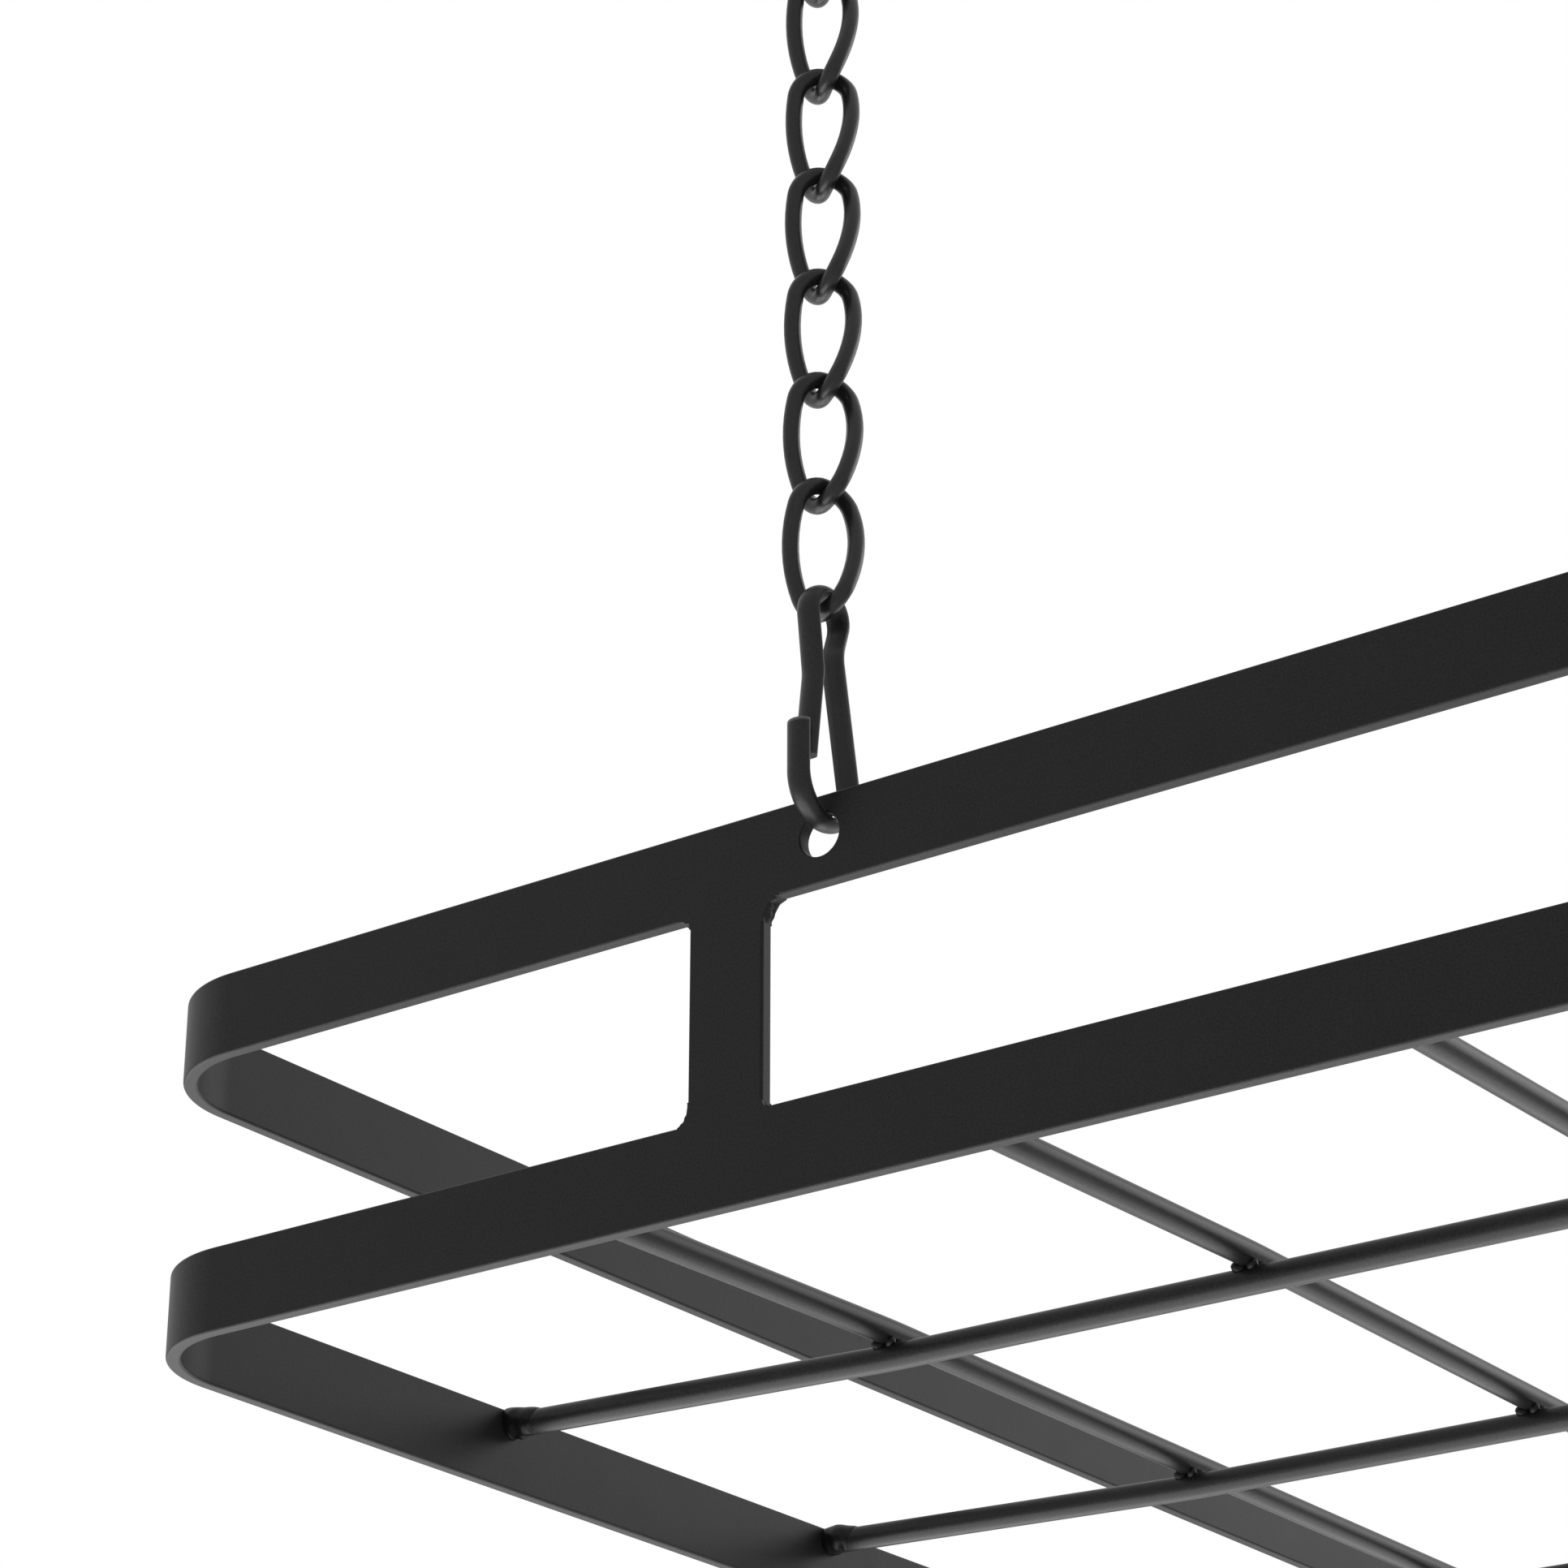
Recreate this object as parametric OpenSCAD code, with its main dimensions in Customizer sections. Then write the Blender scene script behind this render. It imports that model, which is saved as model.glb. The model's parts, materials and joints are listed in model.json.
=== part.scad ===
// Hanging pot rack: two tiers of flat bar joined by posts, a grid of round rods welded into
// the lower tier, and four chains of twisted links between snap hooks and ceiling screw hooks.
// Millimetres, +Z up. The origin lies on the ceiling, at the centre of the four screws, and X
// runs along the rack. Front is -Y.

/* [Frame] */
// Length of the rack over its rails
rack_l = 825; // [760:1:1000]
// Depth of the rack over its rails
rack_w = 686; // [600:1:800]
// Height from the lower rail's bottom edge to the upper rail's top edge
rack_h = 86.3; // [60:0.1:140]
// Height of the flat bar that both rails are bent from
bar_h = 20; // [18:0.5:26]
// Thickness of the flat bar
bar_t = 3.5; // [2.5:0.1:4.5]
// Outer radius of the rails' bent corners
corner_r = 30; // [20:1:60]
// Radius of the soft edges along the flat bar
edge_r = 0.6; // [0.2:0.1:0.9]

/* [Posts] */
// Distance from the rack's end to the centre of a post
post_in = 172.4; // [110:0.2:180]
// Width of a post
post_w = 19.2; // [14:0.2:24]
// Leg of the weld fillet in a post's larger corners
weld_leg = 5; // [3:0.5:8]
// Leg of the weld fillet in a post's smaller corners
weld_leg_small = 2.5; // [1:0.5:4]

/* [Grid] */
// Diameter of the grid's round rods
rod_d = 6.4; // [5:0.1:8]
// Number of cross rods, which run from front to back
cross_rods = 7; // [7:1:7]
// Distance from the rack's end to the first cross rod
cross_in = 118; // [100:1:150]
// Number of long rods, which run along the rack
long_rods = 4; // [4:1:4]
// Distance from the rack's front to the first long rod
long_in = 138; // [110:1:170]
// How far the rods' ends lie below the lower rail's top edge
rod_drop = 0.5; // [0:0.1:4]
// How far the weld at a rod's end stands out round the rod
weld_out = 1; // [0.6:0.1:2]
// Length of the weld at a rod's end
weld_l = 1.8; // [1:0.1:4]

/* [Hanging holes] */
// Distance from the rack's end to the centre of a hanging hole
hole_in = 196.6; // [195:0.2:250]
// Diameter of a hanging hole in the upper rail
hole_d = 10; // [9:0.1:11]
// Depth of a hole's centre below the upper rail's top edge
hole_drop = 8.9; // [8:0.1:10]

/* [Chain] */
// Diameter of the chain's wire
wire_d = 3.8; // [3:0.1:4]
// Inner length of a link
link_in = 26.8; // [24:0.1:34]
// Outer width of a link at its middle
link_w = 18.1; // [17.4:0.1:20]
// Number of links in each chain
links = 11; // [4:1:14]
// Lean of a link's two strands at mid-height, in degrees
link_lean = 15; // [8:1:25]
// Turn of the links and the ceiling hooks about the chain, in degrees
link_turn = -25; // [-30:1:30]

/* [Snap hook] */
// Width of the half-round wire that a snap hook is bent from
strip_w = 5.8; // [4:0.1:6.2]
// Thickness of the half-round wire
strip_t = 2.2; // [1.6:0.1:3]
// Inner radius of the snap hook's lower bend, round the rail
low_r = 8.6; // [8:0.1:9.6]
// Inner radius of the snap hook's upper loop, round the last link
loop_r = 5.1; // [4.6:0.1:5.6]
// Distance between the centres of the two bends
hook_span = 39; // [36:0.5:48]
// Lean of the back leg below its waist, in degrees
back_lean = 11; // [8:0.5:13]
// Lean of the back leg above its waist, in degrees
top_lean = 18; // [14:0.5:20]
// Lean of the spring leg above its waist, in degrees
gate_lean = 7.3; // [5:0.1:9]
// Height of the spring leg's waist above the lower bend's centre
gate_waist = 24.5; // [21:0.5:27]
// Height of the spring leg's end above the lower bend's centre
gate_end = 3; // [2:0.5:6]
// Height of the snap hook's tip above the lower bend's centre
tip_up = 11.4; // [9:0.1:15]
// Bend radius at the waist of either leg
waist_r = 10; // [6:0.5:14]

/* [Ceiling hook] */
// Diameter of the ceiling hook's wire and of its screw
screw_d = 4.2; // [3.6:0.1:5]
// Length of the screw above the ceiling
screw_l = 30; // [20:1:45]
// Length of the screw's point
point_l = 5; // [3:0.5:8]
// Diameter of the collar that stops against the ceiling
collar_d = 14; // [9:0.5:20]
// Thickness of the collar
collar_t = 1.6; // [1:0.1:3]
// Length of the straight stem below the ceiling
stem_l = 6; // [4:0.5:14]
// Radius of the hook's eye, at the middle of its wire
eye_r = 9; // [8:0.5:14]
// Radius of the bend between the stem and the eye, at the middle of the wire
neck_r = 3.5; // [3:0.1:4.5]
// Length of the straight end above the eye
lip_l = 3; // [1:0.5:5]

/* [Clearances] */
// Gap between pieces that move on each other
gap = 0.3; // [0.2:0.05:0.5]
// Gap across the spring leg's root, where it flexes
root_gap = 0.5; // [0.4:0.05:0.8]

/* [Hidden] */
$fn = 64;

// The four corners, as the signs of X and Y
front_left = [-1, -1];
front_right = [1, -1];
back_left = [-1, 1];
back_right = [1, 1];

// Where the chains hang
hang_x = rack_l / 2 - hole_in;
hang_y = rack_w / 2 - bar_t / 2;
post_x = rack_l / 2 - post_in;

// The rods: the long ones dip under the cross rods, which rise over them by the same amount
rod_r = rod_d / 2;
cross_span = rack_l - 2 * cross_in;
long_span = rack_w - 2 * long_in;
rod_touch = 0.02;
rod_rise = rod_r + rod_touch / 2;

// Lengths of rod and wire meet inside a ball that is a little thicker
joint_swell = 0.08;
joint_cut = 0.15;

// A link's curve runs up one strand, from the middle of its lower bend, across X, to the middle of
// its upper bend, across Y. Each step of it is a [point, heading].
link_z = (link_in + wire_d) / 2;
link_x = (link_w - wire_d) / 2;
link_mid = link_x * [cos(45), sin(45), 0];
mid_way = [-sin(link_lean) * sin(45), sin(link_lean) * cos(45), cos(link_lean)];
bend_steps = 4;
wire_sides = 8;
strand = concat(
  bend_path([0, 0, -link_z], [1, 0, 0], link_mid, mid_way, bend_steps, 1),
  bend_path(link_mid, mid_way, [0, 0, link_z], [0, -1, 0], 1, bend_steps)
);
link_path = concat(strand, [[[0, 0, link_z], [0, -1, 0]]], [for (i = [len(strand) - 1:-1:1]) other_strand(strand[i])]);
bend_r = arc_radius(strand[0][0], strand[0][1], strand[bend_steps][0]);
link_pitch = link_in - gap;

// Heights, from the ceiling down
eye_z = -stem_l - eye_r;
top_link_z = eye_z - eye_r + (screw_d + wire_d) / 2 + gap - link_z;
last_link_z = top_link_z - (links - 1) * link_pitch;
last_bend_z = last_link_z - link_z + bend_r;
loop_z = last_bend_z - chord_depth(bend_r - wire_d / 2 - gap, strip_w) - loop_r;
hook_z = loop_z - hook_span;
hole_z = hook_z - chord_depth(low_r - gap, bar_t) - chord_depth(hole_d / 2, strip_w);
upper_top_z = hole_z + hole_drop;
base_z = upper_top_z - rack_h;
rod_z = base_z + bar_h - rod_drop - rod_r;

// The half-round wire's flats, and the bends of the two legs
dome_steps = 6;
arc_step = 14;
cut_turn = root_gap / 2 / (loop_r + strip_t / 2) * 180 / PI;
back_in = low_r * cos(back_lean) - loop_r * cos(top_lean);
back_climb = hook_span - loop_r * sin(top_lean) - low_r * sin(back_lean);
low_leg = (back_in * cos(top_lean) + back_climb * sin(top_lean)) / sin(back_lean + top_lean);
back_waist = low_r * way(back_lean) + low_leg * way(90 + back_lean);
gate_root = [0, hook_span] + loop_r * way(180 + gate_lean);
gate_waist_v = gate_root[0] + (gate_root[1] - gate_waist) * tan(gate_lean);
gate_end_v = -low_r + gap + strip_t;
gate_low_lean = atan2(gate_waist_v - gate_end_v, gate_waist - gate_end);
gate_tail = 0.98;

// How far below a circle's centre a chord of the given width lies
function chord_depth(r, w) = sqrt(r * r - w * w / 4);
// The unit vector at an angle in a plane, and along a vector
function way(a) = [cos(a), sin(a)];
function unit(v) = v / norm(v);

// The arc that leaves p along t for q: the way from p to its centre, its radius, and its steps, without q
function arc_side(p, t, q) = let (n = unit(cross(t, q - p))) cross(n, t);
function arc_radius(p, t, q) = let (v = q - p) v * v / (2 * (v * arc_side(p, t, q)));
function arc_path(p, t, q, n) =
  let (side = arc_side(p, t, q), r = arc_radius(p, t, q), turn = 2 * asin(norm(q - p) / (2 * r)))
  [for (i = [0:n - 1]) let (u = turn * i / n) [p + r * (side * (1 - cos(u)) + t * sin(u)), side * sin(u) + t * cos(u)]];

// Two arcs that lead from p, along t, to q, along s, and meet halfway between the ends of equal arms
function bend_path(p, t, q, s, steps_1, steps_2) =
  let (v = q - p, across = v * (t + s), spread = 2 * (1 - t * s))
  let (arm = (sqrt(across * across + spread * (v * v)) - across) / spread)
  let (meet = (p + q + arm * (t - s)) / 2)
  concat(arc_path(p, t, meet, steps_1), arc_path(meet, unit(v - arm * (t + s)), q, steps_2));

// A step of the link's other strand, half a turn round Z, where the curve runs back down
function half_turn(v) = [-v[0], -v[1], v[2]];
function other_strand(step) = [half_turn(step[0]), -half_turn(step[1])];

// A rectangle with round corners, as points
function round_corner(c, r, a) = [for (i = [0:3]) c + r * way(a + 30 * i)];
function round_rect(w, h, r) = concat(
  round_corner([w - r, h - r], r, 0), round_corner([r, h - r], r, 90),
  round_corner([r, r], r, 180), round_corner([w - r, r], r, 270)
);

// A strip's path is a list of [point, heading], with the loop's inside on its left
function left_turn(c, r, a, b) =
  let (n = ceil((b - a) / arc_step)) [for (i = [0:n]) let (u = a + (b - a) * i / n) [c + r * way(u), u + 90]];
function right_turn(corner, a, b, r) =
  let (c = corner - r * tan((a - b) / 2) * way(a) + r * way(a - 90), n = 3)
  [for (i = [0:n]) let (u = a + (b - a) * i / n) [c - r * way(u - 90), u]];

// A half-round section at each step of the path, its flat on the path and its dome outside
function strip_ring(step) = [for (j = [0:dome_steps])
  let (u = 180 * j / dome_steps, q = step[0] + strip_t * sin(u) * way(step[1] - 90)) [strip_w / 2 * cos(u), q[0], q[1]]];

module strip(path) {
  m = dome_steps + 1;
  last = len(path) - 1;
  polyhedron(
    points = [for (step = path) each strip_ring(step)],
    faces = [
      [for (j = [0:m - 1]) j],
      [for (j = [m - 1:-1:0]) last * m + j],
      for (i = [0:last - 1], j = [0:m - 1]) each let (a = i * m, b = a + m, k = (j + 1) % m)
        [[a + j, b + j, b + k], [a + j, b + k, a + k]]
    ]
  );
}

// A ring of wire round each step of the link's curve
function wire_ring(step) = let (b = unit(cross(step[0], step[1])), n = cross(b, step[1]))
  [for (j = [0:wire_sides - 1]) let (u = 360 * j / wire_sides) step[0] + wire_d / 2 * (cos(u) * n + sin(u) * b)];

// A link whose lower bend lies across X and whose upper bend lies across Y
module link() {
  m = wire_sides;
  rings = len(link_path);
  polyhedron(
    points = [for (step = link_path) each wire_ring(step)],
    faces = [for (i = [0:rings - 1], j = [0:m - 1]) each
      let (a = i * m, b = (i + 1) % rings * m, k = (j + 1) % m) [[a + j, b + j, b + k], [a + j, b + k, a + k]]]
  );
}

module at_corner(corner, z, turn = 0) {
  translate([corner[0] * hang_x, corner[1] * hang_y, z]) rotate([0, 0, turn + (corner[1] > 0 ? 180 : 0)]) children();
}

module top_link(corner) {
  color("#1d1d1e") at_corner(corner, top_link_z, link_turn) link();
}

module chain(corner) {
  color("#1d1d1e") for (i = [1:links - 1]) at_corner(corner, top_link_z - i * link_pitch, link_turn) link();
}

// The body of a snap hook, from its tip under the rail and up the back leg to the loop
module snap_hook(corner) {
  color("#232324") at_corner(corner, hook_z) strip(concat(
    [[[-low_r, tip_up], 270]],
    left_turn([0, 0], low_r, 180, 360 + back_lean),
    right_turn(back_waist, 90 + back_lean, 90 - top_lean, waist_r),
    left_turn([0, hook_span], loop_r, -top_lean, 180 - cut_turn)
  ));
}

// The snap hook's spring leg, whose end closes against the inside of the tip
module hook_gate(corner) {
  color("#232324") at_corner(corner, hook_z) strip(concat(
    left_turn([0, hook_span], loop_r, 180 + cut_turn, 180 + gate_lean),
    right_turn([gate_waist_v, gate_waist], 270 + gate_lean, 270 - gate_low_lean, waist_r),
    [[[gate_end_v, gate_end], 270 - gate_low_lean]]
  ));
}

module bend_quarter(c, r, a) {
  translate([c[0], 0, c[1]]) rotate([90, 0, 0]) rotate([0, 0, a])
    rotate_extrude(angle = 90) translate([r, 0]) circle(d = screw_d);
}

module ceiling_hook(corner) {
  color("#1d1d1e") at_corner(corner, 0, link_turn) {
    translate([0, 0, -stem_l]) cylinder(d = screw_d, h = stem_l + screw_l - point_l);
    translate([0, 0, screw_l - point_l]) cylinder(d1 = screw_d, d2 = screw_d / 6, h = point_l);
    translate([0, 0, -collar_t]) cylinder(d = collar_d, h = collar_t);
    bend_quarter([-neck_r, -stem_l], neck_r, 270);
    bend_quarter([-neck_r, eye_z], eye_r - neck_r, 90);
    bend_quarter([0, eye_z], eye_r, 180);
    bend_quarter([0, eye_z], eye_r, 270);
    translate([eye_r, 0, eye_z]) cylinder(d = screw_d, h = lip_l);
    translate([eye_r, 0, eye_z + lip_l]) sphere(d = screw_d + joint_swell);
  }
}

// A loop of flat bar with its bottom edge at z
module rail(z) {
  long = rack_l - 2 * corner_r;
  short = rack_w - 2 * corner_r;
  section = round_rect(bar_t, bar_h, edge_r);
  translate([0, 0, z]) for (half = [0, 180]) rotate([0, 0, half]) {
    translate([-long / 2, -rack_w / 2, 0]) rotate([90, 0, 90]) linear_extrude(long) polygon(section);
    translate([-rack_l / 2, short / 2, 0]) rotate([90, 0, 0]) linear_extrude(short) polygon(section);
    for (side = [-1, 1])
      translate([-long / 2, side * short / 2, 0]) rotate([0, 0, 135 - side * 45])
        rotate_extrude(angle = 90) translate([corner_r - bar_t, 0]) polygon(section);
  }
}

module upper_rail() {
  color("#1b1b1c") difference() {
    rail(upper_top_z - bar_h);
    for (x = [-hang_x, hang_x])
      translate([x, rack_w / 2 + 1, hole_z]) rotate([90, 0, 0]) cylinder(d = hole_d, h = rack_w + 2);
  }
}

module lower_rail() {
  color("#1b1b1c") rail(base_z);
}

// A fillet of weld in a corner of the given leg, with a thin toe at each end
module weld_fillet(leg) {
  toe = edge_r / 2;
  reach = leg - toe;
  translate([0, (bar_t - 2 * edge_r) / 2, 0]) rotate([90, 0, 0]) linear_extrude(bar_t - 2 * edge_r) polygon(concat(
    [[0, 0], [leg, 0]],
    [for (u = [0:15:90]) [leg - reach * sin(u), leg - reach * cos(u)]],
    [[0, leg]]
  ));
}

// A post between the rails, with the welds in its four corners
module post(corner) {
  low = base_z + bar_h;
  high = upper_top_z - bar_h;
  color("#1b1b1c") translate([corner[0] * post_x, corner[1] * hang_y, 0]) {
    translate([-post_w / 2, -bar_t / 2, low]) linear_extrude(high - low) polygon(round_rect(post_w, bar_t, edge_r));
    for (side = [-1, 1]) {
      inner = side * corner[0] < 0;
      translate([side * post_w / 2, 0, high]) mirror([side < 0 ? 1 : 0, 0, 0]) mirror([0, 0, 1])
        weld_fillet(inner ? weld_leg : weld_leg_small);
      translate([side * post_w / 2, 0, low]) mirror([side < 0 ? 1 : 0, 0, 0])
        weld_fillet(inner ? weld_leg_small : weld_leg);
    }
  }
}

// A rod along X that is level between two bends and meets the rails at z = 0
module rod(length, level, rise) {
  run = (length - level) / 2;
  slope = atan2(rise, run);
  reach = norm([run, rise]);
  translate([-level / 2 + joint_cut, 0, rise]) rotate([0, 90, 0]) cylinder(d = rod_d, h = level - 2 * joint_cut);
  for (half = [0, 180]) rotate([0, 0, half]) {
    translate([level / 2, 0, rise]) {
      sphere(d = rod_d + joint_swell);
      rotate([0, 90 + slope, 0]) translate([0, 0, joint_cut]) cylinder(d = rod_d, h = reach - 2 * joint_cut);
    }
    translate([length / 2, 0, 0]) rotate([0, -90, 0])
      cylinder(r1 = rod_r + weld_out, r2 = rod_r + joint_swell, h = weld_l);
  }
}

module long_rod(i) {
  color("#2a2a2b") translate([0, (i - 1) / (long_rods - 1) * long_span - long_span / 2, rod_z])
    rod(rack_l - 2 * bar_t, cross_span, -rod_rise);
}

module cross_rod(i) {
  color("#2a2a2b") translate([(i - 1) / (cross_rods - 1) * cross_span - cross_span / 2, 0, rod_z]) rotate([0, 0, 90])
    rod(rack_w - 2 * bar_t, long_span, rod_rise);
}

upper_rail();
lower_rail();
post(front_left);  // post_front_left
post(front_right);  // post_front_right
post(back_left);  // post_back_left
post(back_right);  // post_back_right
long_rod(1);  // long_rod_1
long_rod(2);  // long_rod_2
long_rod(3);  // long_rod_3
long_rod(4);  // long_rod_4
cross_rod(1);  // cross_rod_1
cross_rod(2);  // cross_rod_2
cross_rod(3);  // cross_rod_3
cross_rod(4);  // cross_rod_4
cross_rod(5);  // cross_rod_5
cross_rod(6);  // cross_rod_6
cross_rod(7);  // cross_rod_7
ceiling_hook(front_left);  // ceiling_hook_front_left
ceiling_hook(front_right);  // ceiling_hook_front_right
ceiling_hook(back_left);  // ceiling_hook_back_left
ceiling_hook(back_right);  // ceiling_hook_back_right
top_link(front_left);  // top_link_front_left
top_link(front_right);  // top_link_front_right
top_link(back_left);  // top_link_back_left
top_link(back_right);  // top_link_back_right
chain(front_left);  // chain_front_left
chain(front_right);  // chain_front_right
chain(back_left);  // chain_back_left
chain(back_right);  // chain_back_right
snap_hook(front_left);  // snap_hook_front_left
snap_hook(front_right);  // snap_hook_front_right
snap_hook(back_left);  // snap_hook_back_left
snap_hook(back_right);  // snap_hook_back_right
hook_gate(front_left);  // hook_gate_front_left
hook_gate(front_right);  // hook_gate_front_right
hook_gate(back_left);  // hook_gate_back_left
hook_gate(back_right);  // hook_gate_back_right
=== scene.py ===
"""Looks of the hanging pot rack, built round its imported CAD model.

Sizes are in metres. MM turns a size in millimetres into metres.
"""

import json
import math
import random

import bmesh
import bpy
import numpy as np
from mathutils import Matrix, Vector, noise


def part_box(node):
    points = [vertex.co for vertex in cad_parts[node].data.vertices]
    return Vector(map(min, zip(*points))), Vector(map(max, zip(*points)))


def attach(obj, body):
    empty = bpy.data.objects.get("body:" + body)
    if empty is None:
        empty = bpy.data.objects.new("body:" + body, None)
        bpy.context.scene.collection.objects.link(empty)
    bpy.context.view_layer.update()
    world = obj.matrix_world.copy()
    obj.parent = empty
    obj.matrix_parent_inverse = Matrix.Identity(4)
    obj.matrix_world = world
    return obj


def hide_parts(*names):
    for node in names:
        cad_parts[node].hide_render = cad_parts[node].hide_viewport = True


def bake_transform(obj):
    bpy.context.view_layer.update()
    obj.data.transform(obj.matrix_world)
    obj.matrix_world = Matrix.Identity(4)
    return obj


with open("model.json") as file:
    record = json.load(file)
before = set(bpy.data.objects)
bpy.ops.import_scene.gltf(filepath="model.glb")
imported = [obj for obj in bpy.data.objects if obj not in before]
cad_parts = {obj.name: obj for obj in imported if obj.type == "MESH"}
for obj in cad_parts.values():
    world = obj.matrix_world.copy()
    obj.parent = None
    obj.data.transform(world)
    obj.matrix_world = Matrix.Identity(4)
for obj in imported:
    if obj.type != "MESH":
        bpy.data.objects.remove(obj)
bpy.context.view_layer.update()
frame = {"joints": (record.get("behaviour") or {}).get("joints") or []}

MM = 0.001
UP = np.array([0.0, 0.0, 1.0])

# ---------------------------------------------------------------- sizes of the real object
# The flat bar of rails and posts, and the holes in the upper rail
BAR_T = 3.5 * MM
CORNER_R = 30 * MM
EDGE_R = 0.7 * MM
POST_W = 19.2 * MM
HOLE_R = 5 * MM
HOLE_DROP = 8.9 * MM  # from the rail's top edge to the middle of a hole

# The round rods of the grid
ROD_R = 3.2 * MM
ROD_BEND = 6 * MM  # half the length of a bend
ROD_DROP = 0.5 * MM  # from the lower rail's top edge to the top of a rod's end
HALF_ROD_GAP = 0.01 * MM  # half the gap between two crossing rods

# Legs of the welds at a post's top and foot, along the rail and along the post.
# The inner side of a post faces the middle of the rack.
TOP_WELD_INNER = (3.8 * MM, 5 * MM)
TOP_WELD_OUTER = (2.8 * MM, 2.2 * MM)
FOOT_WELD_INNER = (1.6 * MM, 1.6 * MM)
FOOT_WELD_OUTER = (2.5 * MM, 5 * MM)

# The chain. LINK_LEAN is how far the two sides of a twisted link lean at its middle.
WIRE_D = 3.8 * MM
LINK_IN = 26.8 * MM
LINK_W = 18.1 * MM
LINK_LEAN = math.radians(15)
LINK_PITCH = LINK_IN - 0.3 * MM
LINKS = 11

# How far the links are turned about the vertical: the first with its ceiling hook, the one turned most
# and the last. MOST_TURNED is the number of the middle one, from 0 for the first.
FIRST_TURN = math.radians(-25)
MOST_TURN = math.radians(-41)
LAST_TURN = math.radians(-18)
MOST_TURNED = 4

# The snap hook of half-round wire. Its leans are in degrees from the vertical, and its heights are
# from the middle of its lower bend.
STRIP_W = 5.8 * MM
STRIP_T = 2.2 * MM
LOW_R = 8.6 * MM
LOOP_R = 5.1 * MM
HOOK_SPAN = 39 * MM
BACK_LEAN = 11
TOP_LEAN = 18
TIP_UP = 11.4 * MM
WAIST_R = 10 * MM
GATE_LEAN = 7.3
GATE_WAIST = 24.5 * MM
GATE_END = 3 * MM
GATE_GAP = 0.3 * MM  # between the end of the spring leg and the hook's tip

# The ceiling screw hook
SCREW_D = 4.2 * MM
SCREW_L = 30 * MM
COLLAR_D = 14 * MM
COLLAR_T = 1.6 * MM
STEM_L = 6 * MM  # from the ceiling down to the bend of the neck
EYE_R = 9 * MM
NECK_R = 3.5 * MM
LIP_L = 3 * MM  # the straight end that rises beside the eye
THREAD_LOW = 4 * MM  # from the ceiling up to the start of the thread
THREAD_PITCH = 1.8 * MM
THREAD_CORE_R = 1.45 * MM

# The corners that the chains and the posts belong to, with the signs of their x and y
SPOTS = {"front_left": (-1, -1), "front_right": (1, -1), "back_left": (-1, 1), "back_right": (1, 1)}

# ---------------------------------------------------------------- places, from the frame
upper_low, upper_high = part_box("upper_rail")
lower_low, lower_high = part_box("lower_rail")
RACK_L = upper_high.x - upper_low.x
RACK_W = upper_high.y - upper_low.y
pivots = {j["name"]: Vector(j["pos_m"]) for j in frame["joints"]}
HANG_X = pivots["swing_front_back_front_right"].x
HANG_Y = -pivots["swing_front_back_front_right"].y
LOW_BEND_Z = pivots["rack_turn"].z
TOP_LINK_Z = sum(corner.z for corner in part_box("top_link_front_left")) / 2
HOLE_Z = upper_high.z - HOLE_DROP
post_low, post_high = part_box("post_front_right")
POST_X = (post_low.x + post_high.x) / 2
LONG_Y = [sum(c.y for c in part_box(f"long_rod_{i}")) / 2 for i in range(1, 5)]
CROSS_X = [sum(c.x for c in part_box(f"cross_rod_{i}")) / 2 for i in range(1, 8)]
ROD_RISE = ROD_R + HALF_ROD_GAP
ROD_Z = lower_high.z - ROD_DROP - ROD_R

# ---------------------------------------------------------------- fineness and shading of the meshes
EDGE_STEPS = 5
CORNER_STEPS = 24
HOLE_SIDES = 64
ROD_SIDES = 40
LINK_SIDES = 22
SCREW_SIDES = 28
COLLAR_SIDES = 56
WELD_SIDES = 36
BEAD_SIDES = 32
SHARP = 35  # degrees between two faces, from which their edge is shaded sharp
WELD_SHARP = 60


# ---------------------------------------------------------------- mesh helpers
def way(degrees):
    """The unit vector at an angle in a plane."""
    a = math.radians(degrees)
    return np.array([math.cos(a), math.sin(a)])


def unit(v):
    return v / np.linalg.norm(v)


def round_angles(n):
    """n even steps once round, in radians."""
    return np.linspace(0, math.tau, n, False)


def skin(rings, closed=False):
    """Points and faces of a tube through rings of equal length, with its ends capped unless it closes."""
    rings = np.asarray(rings, float)
    n, m = rings.shape[:2]
    points = rings.reshape(-1, 3).tolist()
    faces = []
    for i in range(n if closed else n - 1):
        a, b = i * m, (i + 1) % n * m
        faces += [(a + j, a + (j + 1) % m, b + (j + 1) % m, b + j) for j in range(m)]
    if not closed:
        faces += [tuple(range(m))[::-1], tuple(range((n - 1) * m, n * m))]
    return points, faces


def join(shells):
    """One shell of points and faces from several."""
    points, faces = [], []
    for p, f in shells:
        faces += [tuple(i + len(points) for i in face) for face in f]
        points += list(p)
    return points, faces


def moved(shell, matrix):
    points, faces = shell
    return [tuple(matrix @ Vector(p)) for p in points], faces


def placed(name, data):
    """A new object in the scene."""
    obj = bpy.data.objects.new(name, data)
    bpy.context.scene.collection.objects.link(obj)
    return obj


def mesh_of(name, shell):
    """A mesh of a shell's points and faces, with every face turned outwards."""
    mesh = bpy.data.meshes.new(name)
    mesh.from_pydata(shell[0], [], shell[1])
    cleaned = bmesh.new()
    cleaned.from_mesh(mesh)
    bmesh.ops.recalc_face_normals(cleaned, faces=cleaned.faces)
    cleaned.to_mesh(mesh)
    cleaned.free()
    return mesh


def smooth(mesh, sharp=SHARP):
    """Shades a mesh smooth, but for its sharp edges."""
    mesh.shade_smooth()
    mesh.set_sharp_from_angle(angle=math.radians(sharp))


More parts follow.
